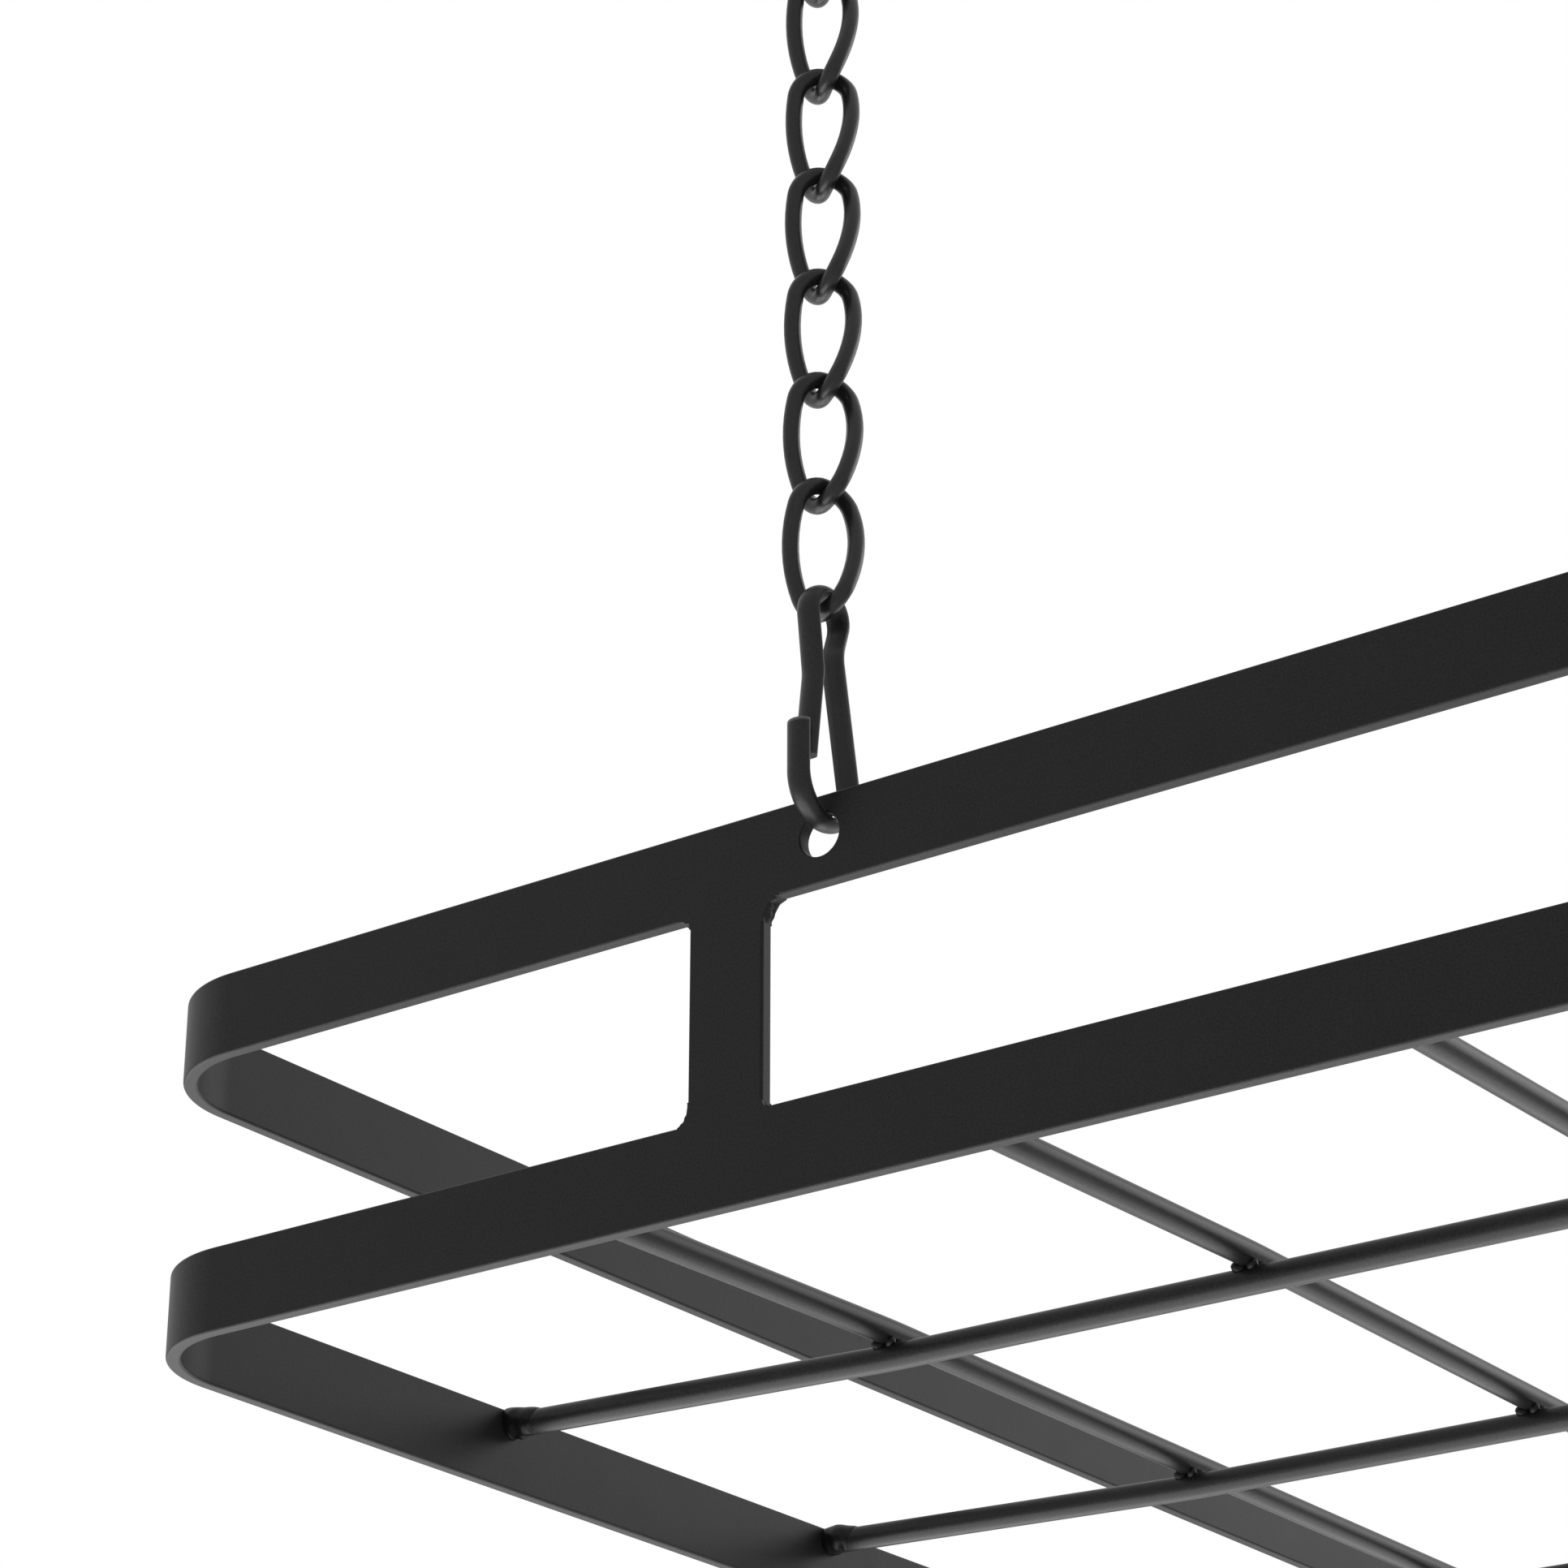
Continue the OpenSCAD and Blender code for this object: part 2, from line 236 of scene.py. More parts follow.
def level_faces(obj):
    """Keeps large flat faces flat in the shading, so that only the soft edges beside them turn."""
    level = obj.modifiers.new("level_faces", "WEIGHTED_NORMAL")
    level.keep_sharp = True


def piece(name, shell, material, body, replaces=(), sharp=SHARP, weighted=False):
    """A mesh object that rides on a body and stands for CAD nodes."""
    mesh = mesh_of(name, shell)
    smooth(mesh, sharp)
    obj = placed(name, mesh)
    mesh.materials.append(material)
    if weighted:
        level_faces(obj)
    if body:
        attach(obj, body)
    if replaces:
        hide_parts(*replaces)
    return obj


def lump(at, size):
    """Smooth noise about 0, whose bumps are as wide as size, at a point."""
    return noise.noise(Vector(at) / size)


# ---------------------------------------------------------------- materials
PATCH_W = 14 * MM  # the coat's soft patches
GRAIN_W = 0.5 * MM  # its fine grain
PEEL_W = 1.6 * MM  # the waves of its orange-peel surface
PATCH_SHARE, GRAIN_SHARE = 0.12, 0.88  # of the change from its dark to its light tone
DARK_TONE = (0.5, 0.5, 0.51)  # times the coat's own tone
LIGHT_TONE = (1.5, 1.5, 1.52)
ROUGHNESS_CHANGE = 0.01
RELIEF_HEIGHT = 0.03 * MM
RELIEF_STRENGTH = 0.6
GRAIN_RELIEF = 0.4  # the grain's height as a share of the waves' height
NOISE_LOW, NOISE_HIGH = 0.3, 0.7  # most of a noise lies between these


def powder_coat(name, tone, roughness, gloss, peel=PEEL_W, wear=None):
    """Black powder coat: two tones in soft patches, a fine grain and an orange-peel surface."""
    material = bpy.data.materials.new(name)
    material.use_nodes = True
    nodes, links = material.node_tree.nodes, material.node_tree.links
    shader = nodes["Principled BSDF"]
    place = nodes.new("ShaderNodeTexCoord")

    def noise_of(width, detail):
        node = nodes.new("ShaderNodeTexNoise")
        node.inputs["Scale"].default_value = 1 / width
        node.inputs["Detail"].default_value = detail
        links.new(place.outputs["Object"], node.inputs["Vector"])
        return node.outputs["Fac"]

    def spread(source, low, high):
        node = nodes.new("ShaderNodeMapRange")
        node.inputs["From Min"].default_value = NOISE_LOW
        node.inputs["From Max"].default_value = NOISE_HIGH
        node.inputs["To Min"].default_value = low
        node.inputs["To Max"].default_value = high
        links.new(source, node.inputs["Value"])
        return node.outputs["Result"]

    patches = noise_of(PATCH_W, 3)
    grain = noise_of(GRAIN_W, 2)
    waves = noise_of(peel, 1)
    tones = nodes.new("ShaderNodeMix")
    tones.data_type = "RGBA"
    tones.inputs["A"].default_value = (*(tone * share for share in DARK_TONE), 1)
    tones.inputs["B"].default_value = (*(tone * share for share in LIGHT_TONE), 1)
    both = nodes.new("ShaderNodeMath")
    both.operation = "ADD"
    links.new(spread(patches, 0, PATCH_SHARE), both.inputs[0])
    links.new(spread(grain, 0, GRAIN_SHARE), both.inputs[1])
    links.new(both.outputs[0], tones.inputs["Factor"])
    colour = tones.outputs["Result"]
    if wear:
        worn_tone = nodes.new("ShaderNodeMix")
        worn_tone.data_type = "RGBA"
        worn_tone.inputs["B"].default_value = (wear, wear, wear * 1.02, 1)
        rubbed = nodes.new("ShaderNodeAttribute")
        rubbed.attribute_name = "wear"
        links.new(rubbed.outputs["Fac"], worn_tone.inputs["Factor"])
        links.new(colour, worn_tone.inputs["A"])
        colour = worn_tone.outputs["Result"]
    links.new(colour, shader.inputs["Base Color"])
    rough = spread(patches, roughness - ROUGHNESS_CHANGE, roughness + ROUGHNESS_CHANGE)
    links.new(rough, shader.inputs["Roughness"])
    heights = nodes.new("ShaderNodeMath")
    heights.operation = "MULTIPLY_ADD"
    heights.inputs[1].default_value = GRAIN_RELIEF
    links.new(grain, heights.inputs[0])
    links.new(waves, heights.inputs[2])
    relief = nodes.new("ShaderNodeBump")
    relief.inputs["Strength"].default_value = RELIEF_STRENGTH
    relief.inputs["Distance"].default_value = RELIEF_HEIGHT
    links.new(heights.outputs[0], relief.inputs["Height"])
    links.new(relief.outputs["Normal"], shader.inputs["Normal"])
    shader.inputs["Specular IOR Level"].default_value = gloss
    return material


BAR_COAT = powder_coat("bar_coat", 0.0078, 0.44, gloss=0.13)
ROD_COAT = powder_coat("rod_coat", 0.009, 0.36, gloss=0.17)
# The welds take the bars' black coat at about half its tone. This darkening is painted shade of the crevices
# they sit in, between rod and rail and between crossing rods.
SHADED_WELD_COAT = powder_coat("weld_coat_painted_shade", 0.004, 0.38, gloss=0.14, peel=0.9 * MM)
CHAIN_COAT = powder_coat("chain_coat", 0.006, 0.30, gloss=0.28, peel=1.2 * MM)
HOOK_COAT = powder_coat("hook_coat", 0.007, 0.36, gloss=0.22, peel=1.2 * MM, wear=0.12)
SCREW_COAT = powder_coat("screw_coat", 0.006, 0.33, gloss=0.26, peel=1.2 * MM)


# ---------------------------------------------------------------- rails
def soft_edge(centre, start):
    """A quarter circle round a soft edge of the bar, from an angle in degrees."""
    return [np.array(centre) + EDGE_R * way(start + 90 * i / EDGE_STEPS) for i in range(EDGE_STEPS + 1)]


def bar_section():
    """Points round the flat bar: how far in from its outer face, and the height."""
    height = lower_high.z - lower_low.z
    edges = [
        ((EDGE_R, height - EDGE_R), 90),
        ((EDGE_R, EDGE_R), 180),
        ((BAR_T - EDGE_R, EDGE_R), 270),
        ((BAR_T - EDGE_R, height - EDGE_R), 0),
    ]
    return [point for centre, start in edges for point in soft_edge(centre, start)]


def loop_stations():
    """Places round the rail's outer face, each with its outward direction."""
    stations = []
    half = np.array([RACK_L / 2 - CORNER_R, RACK_W / 2 - CORNER_R])
    for quarter, signs in enumerate([(1, 1), (-1, 1), (-1, -1), (1, -1)]):
        for i in range(CORNER_STEPS + 1):
            out = way(90 * quarter + 90 * i / CORNER_STEPS)
            stations.append((half * signs + CORNER_R * out, out))
    return stations


def rail(low_z):
    rings = []
    for place, out in loop_stations():
        ring = [np.append(place - depth * out, low_z + z) for depth, z in bar_section()]
        rings.append(ring)
    return skin(rings, closed=True)


def hole_cutter(x):
    """A spool through both long sides, which leaves a soft rim on each face."""
    soft, past, flare = 0.3 * MM, 2 * MM, 1.5 * MM
    rim = [(-past, flare), (0, soft), (soft * 0.5, soft * 0.3), (soft, 0)]
    spools = []
    for side in (-1, 1):
        inner, outer = sorted([side * (RACK_W / 2 - BAR_T), side * RACK_W / 2])
        profile = [(inner + d, HOLE_R + r) for d, r in rim]
        profile += [(outer - d, HOLE_R + r) for d, r in rim[::-1]]
        rings = []
        for y, r in profile:
            ring = [(x + r * math.cos(t), y, HOLE_Z + r * math.sin(t)) for t in round_angles(HOLE_SIDES)]
            rings.append(ring)
        spools.append(skin(rings))
    return join(spools)


def drill(obj, cutters):
    """Cuts holes out of an object's mesh."""
    tools = []
    for i, shell in enumerate(cutters):
        tool = placed(f"cutter_{i}", mesh_of(f"cutter_{i}", shell))
        cut = obj.modifiers.new(f"cut_{i}", "BOOLEAN")
        cut.operation = "DIFFERENCE"
        cut.solver = "EXACT"
        cut.object = tool
        tools.append(tool)
    drilled = bpy.data.meshes.new_from_object(obj.evaluated_get(bpy.context.evaluated_depsgraph_get()))
    obj.modifiers.clear()
    obj.data = drilled
    for tool in tools:
        bpy.data.objects.remove(tool)
    smooth(drilled)


def make_rails():
    lower = piece("lower_rail_bar", rail(lower_low.z), BAR_COAT, "rack", ["lower_rail"])
    upper = piece("upper_rail_bar", rail(upper_low.z), BAR_COAT, "rack", ["upper_rail"])
    drill(upper, [hole_cutter(x) for x in (-HANG_X, HANG_X)])
    for obj in (lower, upper):
        level_faces(obj)


# ---------------------------------------------------------------- posts
def post_bar(x, y):
    """The flat post, which also fills the soft edges of the rails that it is welded to."""
    low, high = lower_high.z - EDGE_R, upper_low.z + EDGE_R
    half = np.array([POST_W / 2 - EDGE_R, BAR_T / 2 - EDGE_R])
    corners = [((1, 1), 0), ((-1, 1), 90), ((-1, -1), 180), ((1, -1), 270)]
    outline = [point for signs, start in corners for point in soft_edge(half * signs, start)]
    rings = [[(x + p[0], y + p[1], z) for p in outline] for z in (low, high)]
    return skin(rings)


def fillet(corner, side, rise, legs, seed):
    """A lumpy weld in a corner between post and rail.

    side and rise are the signs of its two legs, and legs their lengths.
    """
    x0, y0, z0 = corner
    along, up = legs
    depths = [-1, -0.96, -0.86, -0.72, -0.5, -0.25, 0, 0.25, 0.5, 0.72, 0.86, 0.96, 1]
    steps, bow = 14, 0.5
    bump_height, bump_width = 0.7 * MM, 1.3 * MM
    rings = []
    for depth in depths:
        y = y0 + depth * BAR_T / 2
        past = max(0, abs(depth) * BAR_T / 2 - (BAR_T / 2 - EDGE_R))
        inset = EDGE_R - math.sqrt(max(0, EDGE_R**2 - past**2))
        ring = [(-EDGE_R, -EDGE_R), (along, -EDGE_R)]
        for i in range(steps + 1):
            t = i / steps
            a = along * ((1 - t) ** 2 + bow * t * (1 - t))
            b = up * (t**2 + bow * t * (1 - t))
            fade = math.sin(math.pi * t) ** 0.6 if 0 < t < 1 else 0
            bump = bump_height * lump((a + seed, y, b), bump_width) - inset * 0.8
            normal = unit(np.array([up, along]))
            ring.append((a + normal[0] * bump * fade, b + normal[1] * bump * fade))
        ring.append((-EDGE_R, up))
        rings.append([(x0 + side * a, y, z0 + rise * b) for a, b in ring])
    return skin(rings)


def make_posts():
    for seed, (spot, (sx, sy)) in enumerate(SPOTS.items()):
        x, y = sx * POST_X, sy * HANG_Y
        shells = [post_bar(x, y)]
        for side in (-1, 1):
            inner = side * sx < 0
            edge = x + side * POST_W / 2
            top = TOP_WELD_INNER if inner else TOP_WELD_OUTER
            foot = FOOT_WELD_INNER if inner else FOOT_WELD_OUTER
            shells.append(fillet((edge, y, upper_low.z), side, -1, top, seed + side * 0.3))
            shells.append(fillet((edge, y, lower_high.z), side, 1, foot, seed + side * 0.7))
        piece(f"post_{spot}_welded", join(shells), BAR_COAT, "rack", [f"post_{spot}"], weighted=True)


# ---------------------------------------------------------------- rods
def rod(length, level, rise):
    """A rod along X that is level between two bends, with its ends at z = 0."""
    reach = (length - level) / 2
    slope = math.atan2(rise, reach)
    bend = np.linspace(-1, 1, 9)
    xs = [-length / 2]
    xs += [-level / 2 + ROD_BEND * t for t in bend]
    xs += [level / 2 + ROD_BEND * t for t in bend]
    xs += [length / 2]

    def height(x):
        past = abs(x) - level / 2
        if past < -ROD_BEND:
            return rise
        if past > ROD_BEND:
            return rise - past * math.tan(slope)
        return rise - math.tan(slope) * (past + ROD_BEND) ** 2 / (4 * ROD_BEND)

    rings = []
    near = 0.1 * MM
    side = np.array([0, 1.0, 0])
    for x in xs:
        lean = math.atan((height(x + near) - height(x - near)) / (2 * near))
        n = np.array([-math.sin(lean), 0, math.cos(lean)])
        centre = np.array([x, 0, height(x)])
        around = [math.cos(t) * side + math.sin(t) * n for t in round_angles(ROD_SIDES)]
        rings.append([centre + ROD_R * out for out in around])
    return skin(rings)


def make_rods():
    span = CROSS_X[-1] - CROSS_X[0]
    for i, y in enumerate(LONG_Y, 1):
        shell = moved(rod(RACK_L - 2 * BAR_T, span, -ROD_RISE), Matrix.Translation((0, y, ROD_Z)))
        piece(f"long_rod_{i}_round", shell, ROD_COAT, "rack", [f"long_rod_{i}"])
    for i, x in enumerate(CROSS_X, 1):
        turned = Matrix.Translation((x, 0, ROD_Z)) @ Matrix.Rotation(math.pi / 2, 4, "Z")
        shell = moved(rod(RACK_W - 2 * BAR_T, LONG_Y[-1] - LONG_Y[0], ROD_RISE), turned)
        piece(f"cross_rod_{i}_round", shell, ROD_COAT, "rack", [f"cross_rod_{i}"])


def end_weld(at, inward, seed):
    """A lumpy collar of weld round a rod's end, against the rail's inner face.

    Its thickness and the heights of its bumps are in millimetres. seed shifts the noise, so that no two
    welds are alike.
    """
    rng = random.Random(seed)
    inward = np.array(inward, float)
    side = np.cross(inward, UP)
    length = rng.uniform(7.5, 10) * MM
    steps = 24
    least, more_on_top = 0.35, 1.0
    swell_height, swell_width = 0.6, 4.5 * MM
    drop_height, drop_width = 0.7, 2.2 * MM
    into_rail, into_rod = 0.4 * MM, 0.1 * MM
    rings = []
    for i in range(steps + 1):
        s = i / steps
        fade = math.cos(math.pi / 2 * s) ** 0.8
        ring = []
        for t in round_angles(WELD_SIDES):
            top = 0.5 + 0.5 * math.sin(t)  # 1 on top of the rod and 0 under it
            thick = (least + more_on_top * top) * MM * fade
            out = math.cos(t) * side + math.sin(t) * UP
            spot = at + out * ROD_R + inward * length * s
            swell = swell_height * MM * lump(spot + seed * 0.37, swell_width)
            drops = (1 - 0.8 * top) * drop_height * MM * lump(spot + seed * 0.61, drop_width)
            r = ROD_R - into_rod + thick + (swell + drops) * fade
            ring.append(at + inward * (length * s - into_rail) + out * r)
        rings.append(ring)
    return skin(rings)


def cross_weld(at, seed):
    """A lumpy weld between two crossing rods, widest in the four corners between them.

    Its widths and the height of its bumps are in millimetres.
    """
    narrow, more_in_corners = 1.6, 2.7
    bump_height, bump_width = 0.2, 4 * MM
    half_height = 2.3 * MM
    layers = 10
    rings = []
    for i in range(1, layers):
        lift = math.radians(-90 + 180 * i / layers)
        ring = []
        for t in round_angles(BEAD_SIDES):
            wide = (narrow + more_in_corners * abs(math.sin(2 * t)) ** 1.4) * MM
            out = np.array([math.cos(t), math.sin(t), 0])
            p = at + out * wide * math.cos(lift) ** 1.3 + UP * half_height * math.sin(lift)
            bump = lump(p + seed * 0.53, bump_width)
            ring.append(p + out * bump_height * MM * bump * math.cos(lift))
        rings.append(ring)
    return skin(rings)


def make_welds():
    inside_x, inside_y = RACK_L / 2 - BAR_T, RACK_W / 2 - BAR_T
    ends = [(np.array([sx * inside_x, y, ROD_Z]), (-sx, 0, 0)) for y in LONG_Y for sx in (-1, 1)]
    ends += [(np.array([x, sy * inside_y, ROD_Z]), (0, -sy, 0)) for x in CROSS_X for sy in (-1, 1)]
    collars = join([end_weld(at, inward, seed) for seed, (at, inward) in enumerate(ends)])
    # Both kinds of weld take the darker weld coat, whose low tone is painted crevice shade.
    piece("rod_end_welds", collars, SHADED_WELD_COAT, "rack", sharp=WELD_SHARP)
    crossings = [np.array([x, y, ROD_Z]) for x in CROSS_X for y in LONG_Y]
    beads = join([cross_weld(at, seed) for seed, at in enumerate(crossings)])
    piece("crossing_welds", beads, SHADED_WELD_COAT, "rack", sharp=WELD_SHARP)


# ---------------------------------------------------------------- chain
def arc_path(p, t, q, n):
    """n steps of the arc that leaves p along t and ends at q, without q: each a point and a heading."""
    across = np.cross(t, q - p)
    side = np.cross(unit(across), t)
    v = q - p
    r = v @ v / (2 * (v @ side))
    turn = 2 * math.asin(np.linalg.norm(v) / (2 * r))
    steps = []
    for i in range(n):
        u = turn * i / n
        point = p + r * (side * (1 - math.cos(u)) + t * math.sin(u))
        steps.append((point, side * math.sin(u) + t * math.cos(u)))
    return steps


def bend_path(p, t, q, s, steps_1, steps_2):
    """Two arcs from p, along t, to q, along s."""
    v = q - p
    across, width = v @ (t + s), 2 * (1 - t @ s)
    arm = (math.sqrt(across**2 + width * (v @ v)) - across) / width
    meet = (p + q + arm * (t - s)) / 2
    return arc_path(p, t, meet, steps_1) + arc_path(meet, unit(v - arm * (t + s)), q, steps_2)


def link():
    """A twisted link, whose lower bend lies across X and whose upper bend lies across Y."""
    z = (LINK_IN + WIRE_D) / 2
    x = (LINK_W - WIRE_D) / 2
    d = math.sqrt(0.5)
    bottom, top = np.array([0, 0, -z]), np.array([0, 0, z])
    leaving, arriving = np.array([1.0, 0, 0]), np.array([0, -1.0, 0])
    middle = np.array([x * d, x * d, 0])
    lean, rise = math.sin(LINK_LEAN), math.cos(LINK_LEAN)
    heading = np.array([-lean * d, lean * d, rise])
    bend_steps, side_steps = 14, 5
    strand = bend_path(bottom, leaving, middle, heading, bend_steps, side_steps)
    strand += bend_path(middle, heading, top, arriving, side_steps, bend_steps)
    half_turn = np.array([-1, -1, 1])
    path = strand + [(top, arriving)]
    path += [(p * half_turn, -t * half_turn) for p, t in strand[:0:-1]]
    rings = []
    for p, t in path:
        b = unit(np.cross(p, t))
        n = np.cross(b, t)
        rings.append([p + WIRE_D / 2 * (math.cos(u) * n + math.sin(u) * b) for u in round_angles(LINK_SIDES)])
    return skin(rings, closed=True)


def corner_matrix(spot, z, turn=0.0):
    """A chain's place at a height, turned about the vertical, and by half a turn more at the back."""
    sx, sy = SPOTS[spot]
    half = math.pi if sy > 0 else 0
    return Matrix.Translation((sx * HANG_X, sy * HANG_Y, z)) @ Matrix.Rotation(turn + half, 4, "Z")


def link_turn(i):
    """How far link i is turned about the vertical. Link 0 is the top one."""
    if i < MOST_TURNED:
        return FIRST_TURN + (MOST_TURN - FIRST_TURN) * i / MOST_TURNED
    return MOST_TURN + (LAST_TURN - MOST_TURN) * ((i - MOST_TURNED) / (LINKS - 1 - MOST_TURNED)) ** 2.5


def make_chains():
    one = link()
    for spot in SPOTS:
        top = moved(one, corner_matrix(spot, TOP_LINK_Z, link_turn(0)))
        piece(f"top_link_{spot}_wire", top, CHAIN_COAT, f"top_link_{spot}", [f"top_link_{spot}"])
        lower = [corner_matrix(spot, TOP_LINK_Z - i * LINK_PITCH, link_turn(i)) for i in range(1, LINKS)]
        rest = join([moved(one, place) for place in lower])
        piece(f"chain_{spot}_links", rest, CHAIN_COAT, f"chain_{spot}", [f"chain_{spot}"])


# ---------------------------------------------------------------- snap hooks
def strip_section():
    """Points round the half-round wire: how far across, how far out from its flat, and how worn."""
    half_w = STRIP_W / 2
    flat_w = half_w - 0.4 * MM
    size = np.array([half_w, STRIP_T])
    dome_start, dome_steps = 12, 16
    dome_turn = 180 - 2 * dome_start
    dome = [size * way(dome_start + dome_turn * i / dome_steps) for i in range(dome_steps + 1)]
    low, corner, flat = dome[0], np.array([half_w, 0]), np.array([flat_w, 0])
    edge = [(1 - t) ** 2 * low + 2 * t * (1 - t) * corner + t**2 * flat for t in (0.25, 0.5, 0.75)]
    points = [(x, n, 0) for x, n in dome]
    points += [(-x, n, 1) for x, n in edge]
    points += [(-flat_w, 0, 0.5), (-flat_w / 2, 0, 0), (0, 0, 0), (flat_w / 2, 0, 0), (flat_w, 0, 0.5)]
    points += [(x, n, 1) for x, n in edge[::-1]]
    return points


def left_turn(centre, r, a, b, step=4):
    """Points and headings of an arc round a centre, from angle a up to angle b, in degrees."""
    n = max(1, math.ceil((b - a) / step))
    return [(np.array(centre) + r * way(a + (b - a) * i / n), a + (b - a) * i / n + 90) for i in range(n + 1)]


def right_turn(corner, a, b, r):
    """Points and headings of an arc that rounds off a corner, from heading a down to heading b."""
    steps = 8
    start = corner - r * math.tan(math.radians(a - b) / 2) * way(a)
    centre = start + r * way(a - 90)
    headings = [a + (b - a) * i / steps for i in range(steps + 1)]
    return [(centre - r * way(heading - 90), heading) for heading in headings]


def fine(path, most=1.0 * MM):
    """The path with points put in where two of them lie further apart than most."""
    out = [path[0]]
    for (p, a), (q, b) in zip(path, path[1:]):
        n = max(1, math.ceil(np.linalg.norm(q - p) / most))
        turn = (b - a + 180) % 360 - 180
        out += [(p + (q - p) * i / n, a + turn * i / n) for i in range(1, n + 1)]
    return out


def strip(path, cut_start=False, cut_end=False):
    """The half-round wire along a path of (across, up) points, and the wear of its points."""
    section = strip_section()
    middle = STRIP_T * 0.42  # the section shrinks about this height towards a cut end
    soft = 0.25 * MM
    cut = [(0.86, 0, 1), (0.96, soft * 0.4, 1), (1.0, soft, 0.8)]  # size, how far in, and wear
    flat_edge_wear = 0.35
    shades = []
    rings = []

    def ring(p, heading, shrink=1.0, ahead=0.0):
        out = way(heading - 90)
        place = p + ahead * way(heading)
        points = [(x * shrink, *(place + (middle + (n - middle) * shrink) * out)) for x, n, _ in section]
        rings.append(points)

    last = len(path) - 1
    for i, (p, heading) in enumerate(path):
        if i == 0 and cut_start:
            for shrink, inside, shade in cut:
                ring(p, heading, shrink, inside)
                shades.append(shade)
        elif i == last and cut_end:
            for shrink, inside, shade in cut[::-1]:
                ring(p, heading, shrink, -inside)
                shades.append(shade)
        else:
            ring(p, heading)
            shades.append(0)
    wear = [max(shade, w * flat_edge_wear) for shade in shades for _, _, w in section]
    return skin(rings), wear


def hook_paths():
    """The paths of the hook and of its spring leg, seen from +X, with the lower bend's centre at 0."""
    top = np.array([0, HOOK_SPAN])
    climb = top + LOOP_R * way(-TOP_LEAN) - LOW_R * way(BACK_LEAN)
    leg = climb @ way(180 - TOP_LEAN) / math.sin(math.radians(BACK_LEAN + TOP_LEAN))
    waist = LOW_R * way(BACK_LEAN) + leg * way(90 + BACK_LEAN)
    body = [(np.array([-LOW_R, TIP_UP]), 270)]
    body += left_turn((0, 0), LOW_R, 180, 360 + BACK_LEAN)
    body += right_turn(waist, 90 + BACK_LEAN, 90 - TOP_LEAN, WAIST_R)
    body += left_turn(top, LOOP_R, -TOP_LEAN, 180)
    root = top + LOOP_R * way(180 + GATE_LEAN)
    gate_waist = np.array([root[0] + (root[1] - GATE_WAIST) * math.tan(math.radians(GATE_LEAN)), GATE_WAIST])
    end = np.array([-LOW_R + GATE_GAP + STRIP_T, GATE_END])
    low_lean = math.degrees(math.atan2(gate_waist[0] - end[0], GATE_WAIST - GATE_END))
    gate = left_turn(top, LOOP_R, 180, 180 + GATE_LEAN, 2)
    gate += right_turn(gate_waist, 270 + GATE_LEAN, 270 - low_lean, WAIST_R)
    gate += [(end, 270 - low_lean)]
    return fine(body), fine(gate)


def set_wear(obj, wear):
    """Stores how worn each point is, for the coat to show."""
    shade = obj.data.attributes.new("wear", "FLOAT", "POINT")
    shade.data.foreach_set("value", np.array(wear, np.float32))


def make_snap_hooks():
    body_path, gate_path = hook_paths()
    body_shell, body_wear = strip(body_path, cut_start=True)
    gate_shell, gate_wear = strip(gate_path, cut_end=True)
    for spot in SPOTS:
        place = corner_matrix(spot, LOW_BEND_Z)
        hook = piece(f"snap_hook_{spot}_wire", moved(body_shell, place), HOOK_COAT,
                     f"snap_hook_{spot}", [f"snap_hook_{spot}"])
        set_wear(hook, body_wear)
        leg = piece(f"hook_gate_{spot}_leg", moved(gate_shell, place), HOOK_COAT,
                    None, [f"hook_gate_{spot}"])
        set_wear(leg, gate_wear)
        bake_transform(leg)


# ---------------------------------------------------------------- ceiling hooks
def hook_wire():
    """A screw hook below the ceiling and its threaded shank above, in the plane of X and Z."""
    eye_z = -STEM_L - EYE_R
    path = [(np.array([EYE_R, eye_z + LIP_L]), 270)]

    def bend(centre, r, a, b):
        n = math.ceil(abs(b - a) / 5)
        quarter = 90 if b > a else -90
        angles = [a + (b - a) * i / n for i in range(n + 1)]
        path.extend((np.array(centre) + r * way(angle), angle + quarter) for angle in angles)

    bend((0, eye_z), EYE_R, 0, -180)
    bend((-NECK_R, eye_z), EYE_R - NECK_R, 180, 90)
    bend((-NECK_R, -STEM_L), NECK_R, -90, 0)
    wire = SCREW_D / 2
    rings = []

    def ring(p, heading, radius):
        n = way(heading - 90)
        sized = [(t, radius(t)) for t in round_angles(SCREW_SIDES)]
        rings.append([
            (p[0] + r * math.cos(t) * n[0], r * math.sin(t), p[1] + r * math.cos(t) * n[1]) for t, r in sized
        ])

    # The round end of the wire, then the hook
    first, heading = path[0]
    for i in range(1, 7):
        a = math.radians(15 * i)
        ring(first + np.array([0, wire * math.cos(a)]), heading, lambda t, a=a: wire * math.sin(a))
    for p, heading in path[1:]:
        ring(p, heading, lambda t: wire)

    # The shank, whose thread starts above THREAD_LOW and tapers to a point
    run_in, taper_l, last_gap = 1.5 * MM, 6 * MM, 0.05 * MM
    plain_step, thread_step = 1.0 * MM, 0.22 * MM
    z = -STEM_L
    while z < SCREW_L - 2 * last_gap:
        z += thread_step if z > 0 else plain_step
        z = min(z, SCREW_L - last_gap)
        taper = min(1, (SCREW_L - z) / taper_l)

        def radius(t, z=z, taper=taper):
            turned = (t / math.tau - z / THREAD_PITCH) % 1
            ridge = max(0, 1 - abs(turned - 0.5) / 0.22) ** 0.8
            started = min(1, max(0, (z - THREAD_LOW) / run_in))
            plain = wire + (THREAD_CORE_R - wire) * started
            return (plain + (wire - plain) * ridge) * (0.06 + 0.94 * taper)

        ring(np.array([0, z]), 90, radius)
    return skin(rings)


